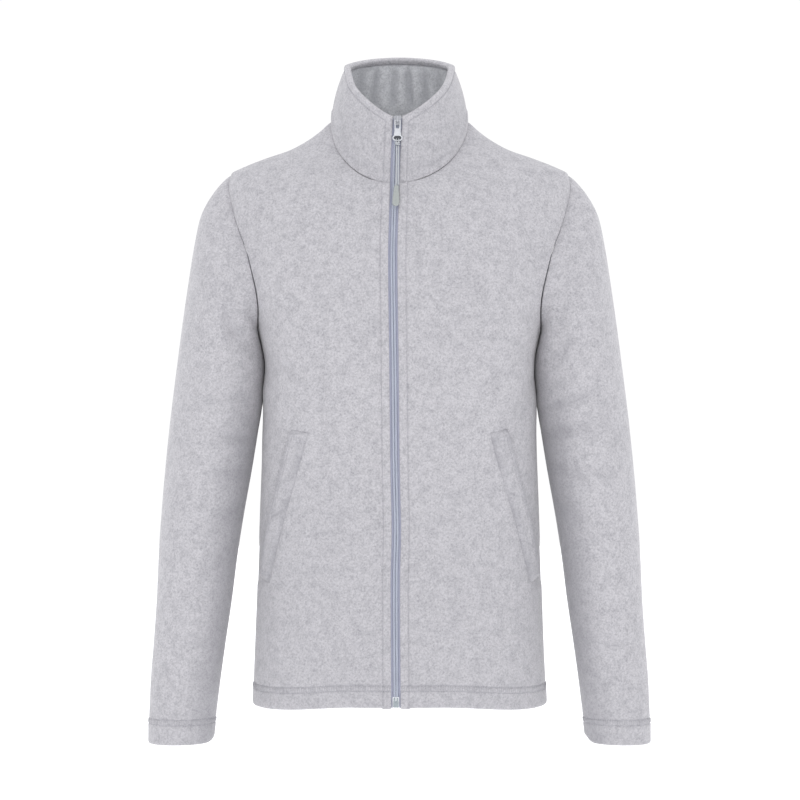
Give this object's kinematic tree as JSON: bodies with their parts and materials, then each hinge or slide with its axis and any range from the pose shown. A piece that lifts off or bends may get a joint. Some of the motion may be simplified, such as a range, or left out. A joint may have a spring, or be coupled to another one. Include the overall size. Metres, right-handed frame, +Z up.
{
  "type": "fleece zip jacket",
  "caption": "Long-sleeved fleece jacket with a stand collar, a full front zip with a corded pull, slanted welt pockets and stitched hem and cuffs, filled out as if worn.",
  "frame": {"origin": "between the shoulders, level with the points where the shoulder seams meet the neck, where the wearer holds the jacket up", "axes": "+Z up from hem to collar, the front and its zip face -Y, +X towards the wearer's left sleeve"},
  "size_m": [0.609, 0.244, 0.8451],
  "materials": {
    "fleece": "brushed heather grey fleece",
    "zip_tape": "woven lavender grey tape",
    "zip_coil": "satin blue grey coil",
    "zip_metal": "satin pale metal",
    "cord": "braided grey cord",
    "grip": "moulded grey green grip"
  },
  "bodies": {
    "jacket": {"front_left": "fleece", "front_right": "fleece", "back": "fleece", "sleeve_left": "fleece", "sleeve_right": "fleece", "collar": "fleece", "welt_left": "fleece", "welt_right": "fleece", "pocket_bag_left": "fleece", "pocket_bag_right": "fleece", "zip_tape_left": "zip_tape", "zip_tape_right": "zip_tape", "zip_chain": "zip_coil", "zip_box": "zip_coil", "zip_slider": "zip_metal"},
    "pull": {"zip_pull": "zip_metal", "pull_hitch": "cord", "pull_cord_left": "cord", "pull_cord_right": "cord", "pull_grip": "grip"}
  },
  "joints": [
    {"name": "pull_swing", "type": "hinge", "parent": "jacket", "child": "pull", "pos_m": [-0.00233, -0.08669, -0.00954], "axis": [-1, 0, 0], "range_deg": [0, 150]}
  ]
}
